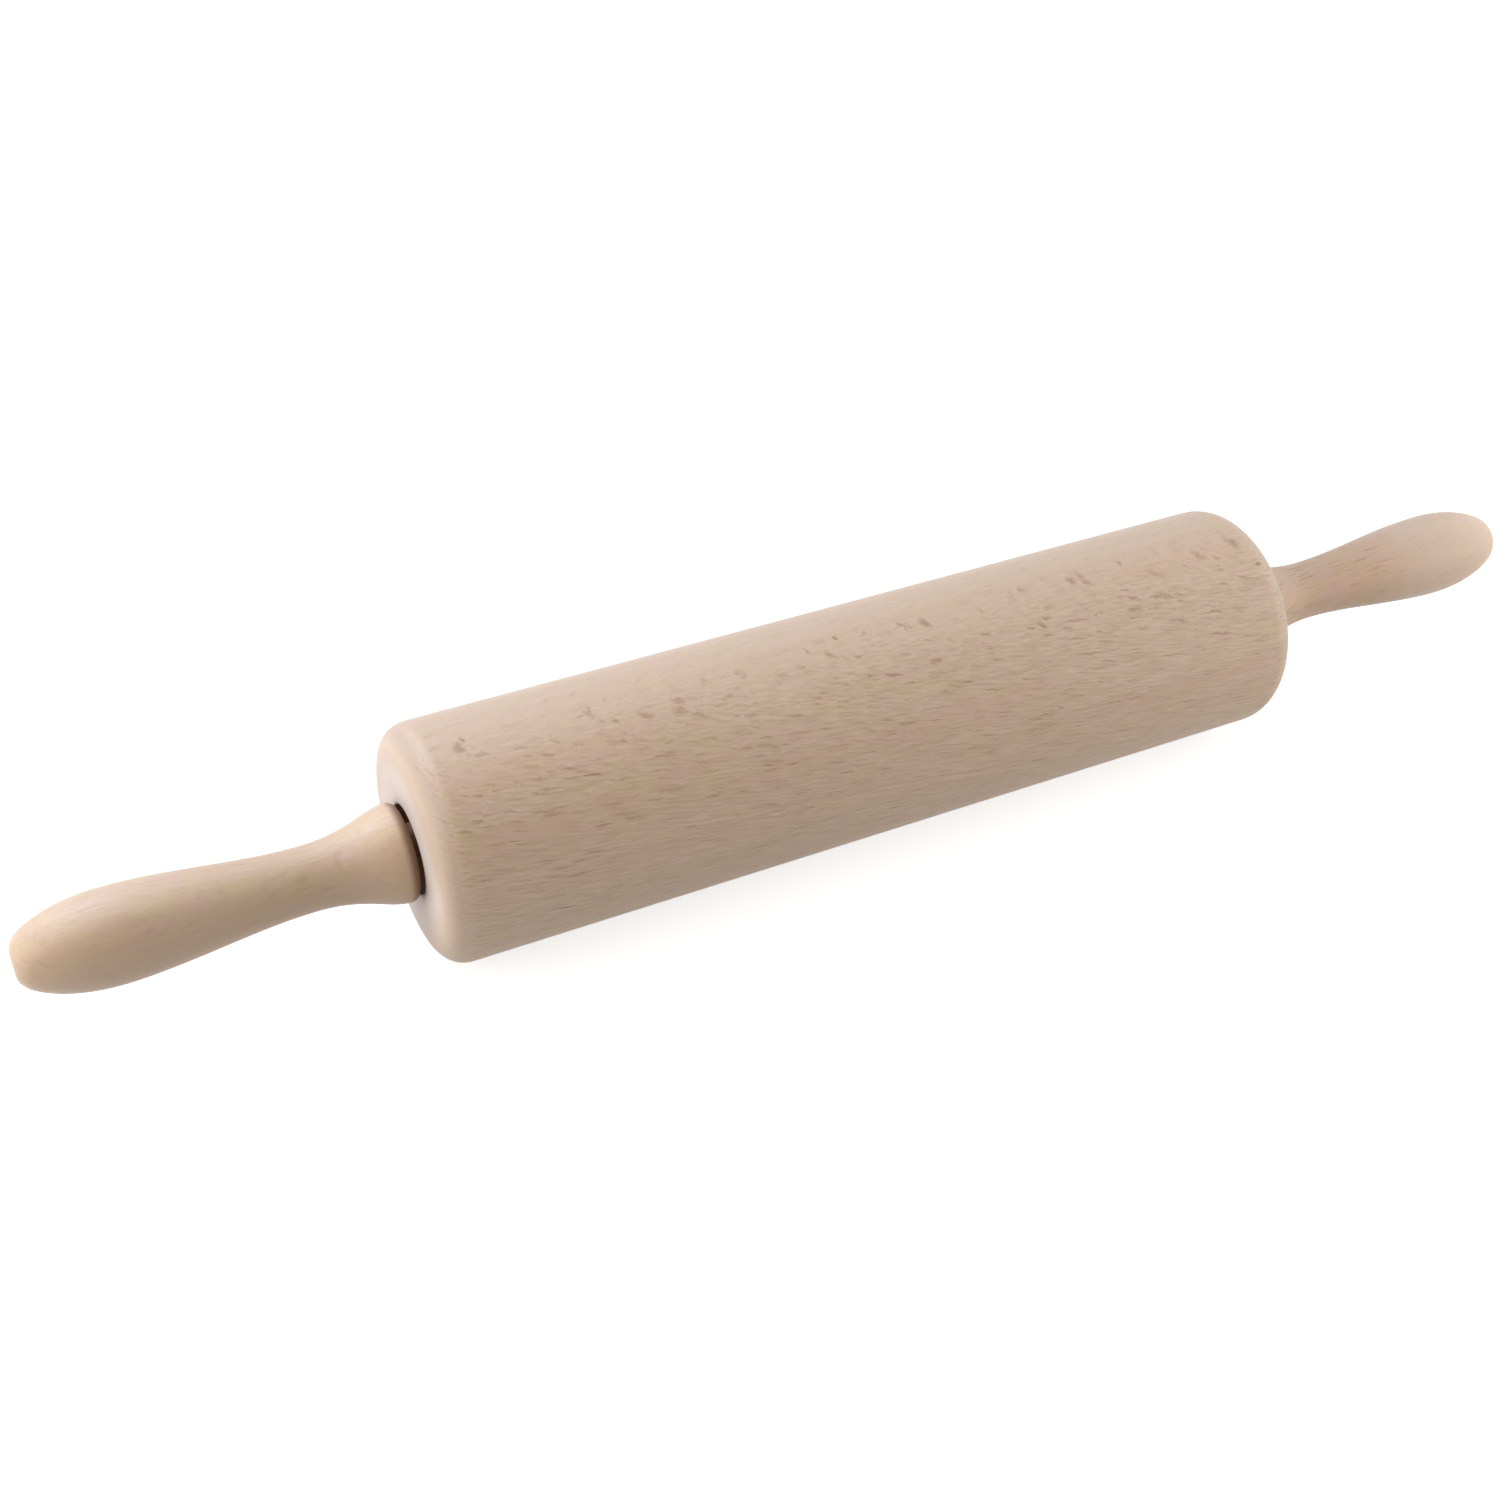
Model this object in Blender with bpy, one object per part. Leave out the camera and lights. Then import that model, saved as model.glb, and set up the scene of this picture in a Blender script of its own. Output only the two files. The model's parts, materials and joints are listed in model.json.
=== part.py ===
"""Ball-bearing rolling pin.

A turned beech barrel spins on a steel axle. The axle's ribbed ends are glued into two turned beech
handles, and a sealed ball bearing sits in each end of the barrel. The pin lies along X, with the
middle of the barrel at the origin and +Z up. Every length is in metres.
"""

import math

import bmesh
import bpy
from mathutils import Matrix

# Wooden barrel
BARREL_LENGTH = 0.240
BARREL_DIAMETER = 0.060
BARREL_EDGE_RADIUS = 0.007
BARREL_BORE_ROOM = 0.003
BEARING_RECESS = 0.005

# Turned handles
HANDLE_LENGTH = 0.0914
HANDLE_GAP = 0.0008
COLLAR_DIAMETER = 0.0246
COLLAR_EDGE_RADIUS = 0.0022
COLLAR_LAND = 0.0002
COLLAR_CROWN = 0.005
WAIST_DIAMETER = 0.016
WAIST_PLACE = 0.0242
WAIST_LEAD = 0.012
GRIP_DIAMETER = 0.023
NOSE_LENGTH = 0.0222
TIP_DIAMETER = 0.010
BORE_MOUTH_CHAMFER = 0.0008

# Steel axle
AXLE_DIAMETER = 0.008
AXLE_HOLD = 0.050
AXLE_END_CHAMFER = 0.0008
AXLE_RIB_COUNT = 5
AXLE_RIB_PITCH = 0.0035
AXLE_RIB_START = 0.004
AXLE_GROOVE_DEPTH = 0.0004
AXLE_GROOVE_WIDTH = 0.0012

# Sealed ball bearings
BALL_DIAMETER = 0.00397
BALL_COUNT = 7
RACE_WALL = 0.00125
RACE_SHOULDER = 0.0008
CAGE_WEB = 0.00045
CAGE_GRIP = 0.0011
CAGE_ROOM = 0.0005
SEAL_THICKNESS = 0.0005
SEAL_INSET = 0.0002
SEAL_LIP = 0.0005

# Clearances
SEAT_GAP = 0.0003
AXLE_GAP = 0.0002
BALL_GAP = 0.00015
POCKET_GAP = 0.0002
RUNNING_GAP = 0.0002

# Facets
BARREL_SIDES = 48
HANDLE_SIDES = 36
AXLE_SIDES = 16
RACE_SIDES = 24
POCKET_SIDES = 12
POCKET_RINGS = 8
BALL_SIDES = 10
BALL_RINGS = 6
EDGE_STEPS = 5
COLLAR_EDGE_STEPS = 3
CURVE_STEPS = 7
SHARP_ANGLE = math.radians(35)

# Sizes that follow from the ones above
BARREL_END = BARREL_LENGTH / 2
AXLE_RADIUS = AXLE_DIAMETER / 2
BALL_RADIUS = BALL_DIAMETER / 2
RACE_BORE = AXLE_RADIUS + AXLE_GAP
PITCH_RADIUS = RACE_BORE + RACE_WALL + BALL_GAP + BALL_RADIUS
GROOVE_RADIUS = BALL_RADIUS + BALL_GAP
RACE_OUTSIDE = PITCH_RADIUS + GROOVE_RADIUS + RACE_WALL
INNER_SHOULDER = PITCH_RADIUS - GROOVE_RADIUS + RACE_SHOULDER
OUTER_SHOULDER = PITCH_RADIUS + GROOVE_RADIUS - RACE_SHOULDER
SEAL_SEAT = OUTER_SHOULDER + SEAL_LIP
CAGE_BACK = BALL_RADIUS + POCKET_GAP + CAGE_WEB
SEAL_INSIDE = CAGE_BACK + RUNNING_GAP
BEARING_HALF_WIDTH = SEAL_INSIDE + SEAL_THICKNESS + SEAL_INSET
BEARING_PLACE = BARREL_END - BEARING_RECESS - BEARING_HALF_WIDTH
BEARING_SEAT = RACE_OUTSIDE + SEAT_GAP
HANDLE_PLACE = BARREL_END + HANDLE_GAP
AXLE_END = HANDLE_PLACE + AXLE_HOLD
HALF_TURN = (0.0, 0.0, math.pi)


def clear_scene():
    """Remove every object that is already in the file."""
    for obj in list(bpy.data.objects):
        bpy.data.objects.remove(obj, do_unlink=True)


def finish(name, colour, roughness, metallic=0.0):
    """Make one plain surface finish."""
    mat = bpy.data.materials.new(name)
    mat.use_nodes = True
    shader = mat.node_tree.nodes["Principled BSDF"]
    shader.inputs["Base Color"].default_value = (*colour, 1.0)
    shader.inputs["Roughness"].default_value = roughness
    shader.inputs["Metallic"].default_value = metallic
    return mat


def axis_empty(name, parent=None):
    """Place an empty on the pin's axis, to carry the pieces that turn together."""
    empty = bpy.data.objects.new(name, None)
    empty.parent = parent
    bpy.context.scene.collection.objects.link(empty)
    return empty


def place(name, mesh, mat, parent, at=(0.0, 0.0, 0.0), turn=(0.0, 0.0, 0.0)):
    """Put a copy of a mesh in the scene as one named piece."""
    obj = bpy.data.objects.new(name, mesh)
    obj.parent = parent
    obj.location = at
    obj.rotation_euler = turn
    bpy.context.scene.collection.objects.link(obj)
    if not mesh.materials:
        mesh.materials.append(None)
    obj.material_slots[0].link = "OBJECT"
    obj.material_slots[0].material = mat
    return obj


def arc(x, r, radius, start, end, steps):
    """Points of an arc in the profile plane; angles in degrees run from +X towards outwards."""
    angles = [math.radians(start + (end - start) * i / steps) for i in range(steps + 1)]
    return [(x + radius * math.cos(a), r + radius * math.sin(a)) for a in angles]


def bezier(p0, p1, p2, p3, steps):
    """Points of a cubic curve, without its first point."""
    points = []
    for i in range(1, steps + 1):
        t = i / steps
        u = 1 - t
        weights = (u ** 3, 3 * u * u * t, 3 * u * t * t, t ** 3)
        points.append(tuple(sum(w * p[k] for w, p in zip(weights, (p0, p1, p2, p3))) for k in (0, 1)))
    return points


def mirrored(half):
    """Complete a profile that is the same on both sides of x = 0."""
    return [(-x, r) for x, r in reversed(half)] + half


def hole(radius, sides):
    """Corner radius of a faceted hole whose flats stand at the given radius."""
    return radius / math.cos(math.pi / sides)


def turned(name, profile, sides, ring):
    """Turn a profile of (x, r) points about X. A ring's profile closes on itself."""
    bm = bmesh.new()
    half_facet = math.pi / sides
    verts = [bm.verts.new((x, r * math.sin(half_facet), r * math.cos(half_facet))) for x, r in profile]
    edges = [bm.edges.new(pair) for pair in zip(verts, verts[1:])]
    if ring:
        edges.append(bm.edges.new((verts[-1], verts[0])))
    bmesh.ops.spin(bm, geom=verts + edges, cent=(0, 0, 0), axis=(1, 0, 0), dvec=(0, 0, 0),
                   angle=2 * math.pi, space=Matrix(), steps=sides, use_merge=True,
                   use_normal_flip=False, use_duplicate=False)
    if not ring:
        bmesh.ops.holes_fill(bm, edges=[e for e in bm.edges if e.is_boundary], sides=0)
    return mesh_from(name, bm)


def mesh_from(name, bm):
    """Close a bmesh into a smooth-shaded mesh with its faces pointing out."""
    bmesh.ops.recalc_face_normals(bm, faces=bm.faces)
    mesh = bpy.data.meshes.new(name)
    bm.to_mesh(mesh)
    bm.free()
    mesh.shade_smooth()
    mesh.set_sharp_from_angle(angle=SHARP_ANGLE)
    return mesh


def barrel_mesh():
    """Barrel with rounded ends and an open bearing seat at each end, bored through."""
    edge = BARREL_EDGE_RADIUS
    outer = BARREL_DIAMETER / 2
    seat_bottom = BEARING_PLACE - BEARING_HALF_WIDTH - SEAT_GAP
    bore = hole(AXLE_RADIUS + BARREL_BORE_ROOM, BARREL_SIDES)
    seat = hole(BEARING_SEAT, BARREL_SIDES)
    outside = arc(BARREL_END - edge, outer - edge, edge, 90, 0, EDGE_STEPS)
    inside = [(BARREL_END, seat), (seat_bottom, seat), (seat_bottom, bore)]
    return turned("barrel", mirrored(outside + inside), BARREL_SIDES, ring=True)


def handle_mesh():
    """Handle along +X from its base: collar, waist, swelling grip, rounded nose and a flat tip."""
    collar = COLLAR_DIAMETER / 2
    waist = WAIST_DIAMETER / 2
    grip = GRIP_DIAMETER / 2
    tip = TIP_DIAMETER / 2
    bore = hole(AXLE_RADIUS + SEAT_GAP, HANDLE_SIDES)
    bore_end = AXLE_HOLD + SEAT_GAP
    grip_place = HANDLE_LENGTH - NOSE_LENGTH
    swell = (grip_place - WAIST_PLACE) / 3
    land = COLLAR_EDGE_RADIUS + COLLAR_LAND

    profile = [(bore_end, bore), (BORE_MOUTH_CHAMFER, bore), (0.0, bore + BORE_MOUTH_CHAMFER)]
    profile += arc(COLLAR_EDGE_RADIUS, collar - COLLAR_EDGE_RADIUS, COLLAR_EDGE_RADIUS, 180, 90,
                   COLLAR_EDGE_STEPS)
    profile += [(land, collar)]
    profile += bezier((land, collar), (land + COLLAR_CROWN, collar),
                      (WAIST_PLACE - WAIST_LEAD, waist), (WAIST_PLACE, waist), CURVE_STEPS)
    profile += bezier((WAIST_PLACE, waist), (WAIST_PLACE + swell, waist),
                      (grip_place - swell, grip), (grip_place, grip), CURVE_STEPS)
    tip_angle = math.asin(tip / grip)
    reach = NOSE_LENGTH / math.cos(tip_angle)
    for i in range(1, CURVE_STEPS + 1):
        a = math.pi / 2 + (tip_angle - math.pi / 2) * i / CURVE_STEPS
        profile.append((grip_place + reach * math.cos(a), grip * math.sin(a)))
    return turned("handle", profile, HANDLE_SIDES, ring=False)


def axle_mesh():
    """Steel rod with ribbed, chamfered ends."""
    half = []
    groove = AXLE_RADIUS - AXLE_GROOVE_DEPTH
    for i in range(AXLE_RIB_COUNT):
        start = HANDLE_PLACE + AXLE_RIB_START + i * AXLE_RIB_PITCH
        slope = AXLE_GROOVE_DEPTH
        half += [(start, AXLE_RADIUS), (start + slope, groove)]
        half += [(start + AXLE_GROOVE_WIDTH - slope, groove), (start + AXLE_GROOVE_WIDTH, AXLE_RADIUS)]
    half += [(AXLE_END - AXLE_END_CHAMFER, AXLE_RADIUS), (AXLE_END, AXLE_RADIUS - AXLE_END_CHAMFER)]
    return turned("axle", mirrored(half), AXLE_SIDES, ring=False)


def sleeve_mesh():
    """Sleeve that carries the handle's push to the inner race, clear of the seal."""
    near = BEARING_HALF_WIDTH + SEAT_GAP
    far = HANDLE_PLACE - BEARING_PLACE - SEAT_GAP
    bore = hole(RACE_BORE, RACE_SIDES)
    profile = [(near, bore), (near, INNER_SHOULDER), (far, INNER_SHOULDER), (far, bore)]
    return turned("sleeve", profile, RACE_SIDES, ring=True)


def groove_half_angle():
    """Half of the angle that a race's groove wraps round the ball, in degrees."""
    return math.degrees(math.acos((GROOVE_RADIUS - RACE_SHOULDER) / GROOVE_RADIUS))


def inner_race_mesh():
    """Inner race with its ball groove."""
    half_angle = groove_half_angle()
    bore = hole(RACE_BORE, RACE_SIDES)
    wide = BEARING_HALF_WIDTH
    profile = [(wide, INNER_SHOULDER), (wide, bore), (-wide, bore), (-wide, INNER_SHOULDER)]
    profile += arc(0.0, PITCH_RADIUS, GROOVE_RADIUS, 270 - half_angle, 270 + half_angle, EDGE_STEPS)
    return turned("inner_race", profile, RACE_SIDES, ring=True)


def outer_race_mesh():
    """Outer race with its ball groove and a recess for each seal."""
    half_angle = groove_half_angle()
    wide = BEARING_HALF_WIDTH
    ledge = SEAL_INSIDE - RUNNING_GAP / 2
    facet = hole(1.0, RACE_SIDES)
    profile = [(-wide, RACE_OUTSIDE), (wide, RACE_OUTSIDE), (wide, SEAL_SEAT * facet)]
    profile += [(ledge, SEAL_SEAT * facet), (ledge, OUTER_SHOULDER * facet)]
    groove = arc(0.0, PITCH_RADIUS, GROOVE_RADIUS, 90 - half_angle, 90 + half_angle, EDGE_STEPS)
    profile += [(x, r * facet) for x, r in groove]
    profile += [(-ledge, OUTER_SHOULDER * facet), (-ledge, SEAL_SEAT * facet), (-wide, SEAL_SEAT * facet)]
    return turned("outer_race", profile, RACE_SIDES, ring=True)


def seal_mesh():
    """Flat ring that closes one side of the bearing; it grips the outer race."""
    inner = hole(INNER_SHOULDER + RUNNING_GAP, RACE_SIDES)
    outer = SEAL_SEAT - RUNNING_GAP
    near = SEAL_INSIDE
    far = SEAL_INSIDE + SEAL_THICKNESS
    profile = [(near, inner), (near, outer), (far, outer), (far, inner)]
    return turned("seal", profile, RACE_SIDES, ring=True)


def ball_places():
    """Centres of the balls round the pitch circle, in the bearing's own middle plane."""
    angles = [2 * math.pi * i / BALL_COUNT for i in range(BALL_COUNT)]
    return [(0.0, PITCH_RADIUS * math.sin(a), PITCH_RADIUS * math.cos(a)) for a in angles]


def ball_mesh():
    """Steel ball."""
    bm = bmesh.new()
    bmesh.ops.create_uvsphere(bm, u_segments=BALL_SIDES, v_segments=BALL_RINGS, radius=BALL_RADIUS)
    return mesh_from("ball", bm)


def cage_mesh():
    """Plain ring from which the ball pockets are cut."""
    inner = hole(INNER_SHOULDER + CAGE_ROOM, RACE_SIDES)
    outer = OUTER_SHOULDER - CAGE_ROOM
    profile = [(-CAGE_BACK, inner), (-CAGE_BACK, outer), (CAGE_GRIP, outer), (CAGE_GRIP, inner)]
    return turned("cage", profile, RACE_SIDES, ring=True)


def pocket_cutter_mesh():
    """One sphere for each ball pocket of the cage."""
    bm = bmesh.new()
    radius = hole(BALL_RADIUS + POCKET_GAP, POCKET_SIDES)
    for centre in ball_places():
        bmesh.ops.create_uvsphere(bm, u_segments=POCKET_SIDES, v_segments=POCKET_RINGS, radius=radius,
                                  matrix=Matrix.Translation(centre))
    return mesh_from("pocket_cutter", bm)


def cut_pockets(cage, cutter_mesh):
    """Cut the ball pockets out of a cage with a Boolean."""
    cutter = bpy.data.objects.new(cage.name + "_cutter", cutter_mesh)
    cutter.parent = cage
    cutter.hide_render = True
    cutter.display_type = "WIRE"
    bpy.context.scene.collection.objects.link(cutter)
    cut = cage.modifiers.new("ball pockets", "BOOLEAN")
    cut.operation = "DIFFERENCE"
    cut.solver = "EXACT"
    cut.object = cutter


def build():
    """Make every piece and put the pin together."""
    clear_scene()
    beech = finish("steamed beech", (0.66, 0.46, 0.32), 0.62)
    steel = finish("bright steel rod", (0.60, 0.60, 0.61), 0.32, 1.0)
    bearing_steel = finish("ground bearing steel", (0.68, 0.68, 0.69), 0.18, 1.0)
    cage_nylon = finish("ivory nylon", (0.72, 0.68, 0.56), 0.45)
    seal_rubber = finish("black nitrile rubber", (0.02, 0.02, 0.02), 0.55)

    fixed = axis_empty("axle_and_handles")
    rolling = axis_empty("barrel_axis", fixed)
    place("barrel", barrel_mesh(), beech, rolling)
    place("axle", axle_mesh(), steel, fixed)

    handle = handle_mesh()
    sleeve = sleeve_mesh()
    inner_race = inner_race_mesh()
    outer_race = outer_race_mesh()
    seal = seal_mesh()
    cage = cage_mesh()
    pockets = pocket_cutter_mesh()
    ball = ball_mesh()
    for side, sign, turn in (("right", 1, (0.0, 0.0, 0.0)), ("left", -1, HALF_TURN)):
        bearing = (sign * BEARING_PLACE, 0.0, 0.0)
        place(side + "_handle", handle, beech, fixed, (sign * HANDLE_PLACE, 0.0, 0.0), turn)
        place(side + "_spacer_sleeve", sleeve, beech, fixed, bearing, turn)
        place(side + "_inner_race", inner_race, bearing_steel, fixed, bearing, turn)
        place(side + "_outer_race", outer_race, bearing_steel, rolling, bearing, turn)
        place(side + "_outer_seal", seal, seal_rubber, rolling, bearing, turn)
        flipped = (0.0, 0.0, turn[2] + math.pi)
        place(side + "_inner_seal", seal, seal_rubber, rolling, bearing, flipped)
        carrier = axis_empty(side + "_cage_axis", fixed)
        carrier.location = bearing
        carrier.rotation_euler = turn
        cut_pockets(place(side + "_ball_cage", cage, cage_nylon, carrier), pockets)
        for number, centre in enumerate(ball_places(), start=1):
            place(f"{side}_ball_{number}", ball, bearing_steel, carrier, centre)


build()
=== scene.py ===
"""Turned beech rolling pin on sealed ball bearings: its finished pieces, their materials and the studio.

The pin lies along X, with the middle of the barrel at the origin and +Z up. Every length is in metres,
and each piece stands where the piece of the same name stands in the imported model.
"""

import json
import math

import bmesh
import bpy
from bpy.props import FloatProperty, FloatVectorProperty, IntProperty, PointerProperty
from mathutils import Euler, Matrix, Vector, noise
from mathutils.geometry import interpolate_bezier


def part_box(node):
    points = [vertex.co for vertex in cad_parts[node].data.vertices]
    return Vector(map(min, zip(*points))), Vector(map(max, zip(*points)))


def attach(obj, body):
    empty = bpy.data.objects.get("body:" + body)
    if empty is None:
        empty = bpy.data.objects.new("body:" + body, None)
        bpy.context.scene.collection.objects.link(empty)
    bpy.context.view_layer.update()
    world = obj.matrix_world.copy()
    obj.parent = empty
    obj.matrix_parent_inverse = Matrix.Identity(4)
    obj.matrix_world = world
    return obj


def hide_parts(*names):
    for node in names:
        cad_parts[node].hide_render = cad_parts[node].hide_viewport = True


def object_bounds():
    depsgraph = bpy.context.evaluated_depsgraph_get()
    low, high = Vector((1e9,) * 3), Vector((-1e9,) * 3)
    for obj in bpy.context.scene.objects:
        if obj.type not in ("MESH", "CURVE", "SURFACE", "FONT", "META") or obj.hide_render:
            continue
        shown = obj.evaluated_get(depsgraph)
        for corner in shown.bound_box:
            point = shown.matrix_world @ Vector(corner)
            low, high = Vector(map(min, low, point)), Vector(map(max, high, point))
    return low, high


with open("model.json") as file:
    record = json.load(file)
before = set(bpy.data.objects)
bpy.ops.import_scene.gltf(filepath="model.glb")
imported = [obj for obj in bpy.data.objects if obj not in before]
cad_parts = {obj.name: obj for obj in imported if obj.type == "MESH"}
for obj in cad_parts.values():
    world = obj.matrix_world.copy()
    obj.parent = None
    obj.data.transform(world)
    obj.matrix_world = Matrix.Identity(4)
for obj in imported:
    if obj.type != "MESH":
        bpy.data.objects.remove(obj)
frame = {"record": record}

bl_info = {
    "name": "Rolling pin workshop",
    "version": (1, 0, 0),
    "blender": (4, 5, 0),
    "location": "3D View > Sidebar > Rolling pin",
    "description": "Turns a beech rolling pin on sealed ball bearings and sets up its studio",
    "category": "Add Mesh",
}

CAD_BOX = [list(corner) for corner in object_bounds()]
BARREL_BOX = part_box("barrel")
HANDLE_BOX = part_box("right_handle")
AXLE_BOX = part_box("axle")

MM = 0.001
BODY_OF = {name: body for body, names in frame["record"]["behaviour"]["bodies"].items() for name in names}
SIDES = (("right", 1.0), ("left", -1.0))

# How finely round pieces are turned
BARREL_STEPS = 192
HANDLE_STEPS = 128
SMALL_STEPS = 96
SHARP_ANGLE = math.radians(32)


# Sizes and colours that a user may change

def linear(hex_code):
    """Turn an sRGB hex value such as #C8A58A into linear RGBA."""
    values = [int(hex_code[i:i + 2], 16) / 255 for i in (1, 3, 5)]
    values = [v / 12.92 if v <= 0.04045 else ((v + 0.055) / 1.055) ** 2.4 for v in values]
    return (*values, 1.0)


def colour_property(label, text, hex_code):
    """Colour setting whose default is an sRGB hex value."""
    return FloatVectorProperty(name=label, description=text, subtype="COLOR", size=3, min=0.0, max=1.0,
                               default=linear(hex_code)[:3])


def length_property(label, text, default, least=0.0, most=100.0):
    """Length setting in metres, which Blender shows in the scene's own units."""
    return FloatProperty(name=label, description=text, default=default, min=least, max=most,
                         unit="LENGTH", subtype="DISTANCE")


class PINSHOP_PG_barrel(bpy.types.PropertyGroup):
    """Sizes of the turned barrel."""

    end_place: length_property(
        "End face", "Distance from the middle of the barrel to its end face", BARREL_BOX[1].x, least=0.05)
    radius: length_property("Radius", "Radius of the rolling surface", BARREL_BOX[1].z, least=0.02)
    edge_radius: length_property(
        "Edge rounding", "Radius of the rounding between the rolling surface and each end face", 7.0 * MM)
    seat_radius: length_property(
        "Bearing seat radius", "Radius of the hole that holds the bearing's outer race", 11.27 * MM)
    seat_depth: length_property("Bearing seat depth", "Depth of that hole from the end face", 12.37 * MM)
    seat_softening: length_property("Seat softening", "Width of the sanded edge of that hole", 0.25 * MM)
    bore_radius: length_property("Bore radius", "Radius of the hole that the axle passes through", 7.0 * MM)


class PINSHOP_PG_handle(bpy.types.PropertyGroup):
    """Sizes of the two turned handles."""

    base_place: length_property(
        "Base", "Distance from the middle of the barrel to the handle's flat base",
        HANDLE_BOX[0].x, least=0.05)
    length: length_property(
        "Length", "Length of the handle from its base to its tip",
        HANDLE_BOX[1].x - HANDLE_BOX[0].x, least=0.05)
    collar_radius: length_property("Collar radius", "Radius of the flared end next to the barrel", 12.3 * MM)
    collar_edge: length_property("Collar edge", "Rounding of the collar's edge at the base", 2.2 * MM)
    waist_radius: length_property(
        "Waist radius", "Smallest radius, between the collar and the grip", 8.0 * MM)
    waist_place: length_property("Waist", "Distance from the base to the waist", 24.2 * MM)
    grip_radius: length_property("Grip radius", "Largest radius of the swelling grip", 11.5 * MM)
    nose_length: length_property(
        "Nose length", "Length of the rounded nose beyond the widest place of the grip", 22.2 * MM)
    tip_radius: length_property(
        "Tip radius", "Radius of the small flat where the handle was parted off", 5.0 * MM)
    tip_edge: length_property("Tip edge", "Width of the sanded rim round that flat", 2.8 * MM, least=0.1 * MM)
    bore_radius: length_property(
        "Bore radius", "Radius of the blind hole that the axle is glued into", 4.3 * MM)
    bore_depth: length_property("Bore depth", "Depth of the blind hole", 50.3 * MM)
    hand_sanding: length_property(
        "Hand sanding", "Height of the soft facets that hand sanding leaves on the nose",
        0.10 * MM, most=0.3 * MM)


class PINSHOP_PG_axle(bpy.types.PropertyGroup):
    """Sizes of the steel axle and the spacer sleeves on it."""

    radius: length_property("Axle radius", "Radius of the drawn steel rod", 4.0 * MM)
    end_place: length_property(
        "Axle end", "Distance from the middle of the barrel to the axle's end", AXLE_BOX[1].x)
    end_chamfer: length_property("End chamfer", "Chamfer at each end of the rod", 0.8 * MM)
    groove_count: IntProperty(
        name="Glue grooves", description="Number of grooves that grip the glue in each handle",
        default=5, min=0)
    groove_pitch: length_property("Groove pitch", "Distance from one groove to the next", 3.5 * MM)
    groove_start: length_property(
        "First groove", "Distance from the handle's base to the first groove", 4.0 * MM)
    groove_width: length_property("Groove width", "Width of each groove at the rod's surface", 1.2 * MM)
    groove_depth: length_property("Groove depth", "Depth of each groove", 0.4 * MM)
    sleeve_near: length_property(
        "Sleeve near end", "Distance from the bearing's middle to the sleeve's inner end", 3.835 * MM)
    sleeve_far: length_property(
        "Sleeve far end", "Distance from the bearing's middle to the sleeve's outer end", 9.035 * MM)


class PINSHOP_PG_bearing(bpy.types.PropertyGroup):
    """Sizes of the two sealed ball bearings."""

    place: length_property(
        "Bearing", "Distance from the middle of the barrel to the middle of each bearing", 111.465 * MM)
    half_width: length_property("Half width", "Half of the bearing's width", 3.535 * MM)
    bore_radius: length_property("Bore radius", "Radius of the inner race's bore", 4.2 * MM)
    outside_radius: length_property("Outside radius", "Outside radius of the outer race", 10.97 * MM)
    pitch_radius: length_property(
        "Pitch radius", "Radius of the circle that the balls' centres lie on", 7.585 * MM)
    groove_radius: length_property("Groove radius", "Radius of each race's ball groove", 2.135 * MM)
    inner_shoulder: length_property("Inner shoulder", "Radius of the inner race's shoulders", 6.25 * MM)
    outer_shoulder: length_property("Outer shoulder", "Radius of the outer race's shoulders", 8.92 * MM)
    seal_seat: length_property("Seal seat", "Radius of the recess that the seal is pressed into", 9.42 * MM)
    seal_ledge: length_property(
        "Seal ledge", "Distance from the bearing's middle to the ledge that the seal sits on", 2.735 * MM)
    seal_inside: length_property(
        "Seal inside", "Distance from the bearing's middle to the seal's inner face", 2.835 * MM)
    seal_thickness: length_property("Seal thickness", "Thickness of each seal", 0.5 * MM)
    running_gap: length_property("Running gap", "Gap between a seal and what turns past it", 0.2 * MM)
    ball_radius: length_property("Ball radius", "Radius of each ball", 1.985 * MM)
    ball_count: IntProperty(
        name="Balls", description="Number of balls in each bearing",
        default=7, min=3)
    pocket_radius: length_property("Pocket radius", "Radius of each ball pocket in the cage", 2.185 * MM)
    cage_back: length_property(
        "Cage back", "Distance from the bearing's middle to the cage's solid back", 2.635 * MM)
    cage_grip: length_property(
        "Cage grip", "Distance that the cage's fingers reach past the balls' centres", 1.1 * MM)
    cage_room: length_property("Cage room", "Gap between the cage and each race's shoulders", 0.5 * MM)


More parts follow.
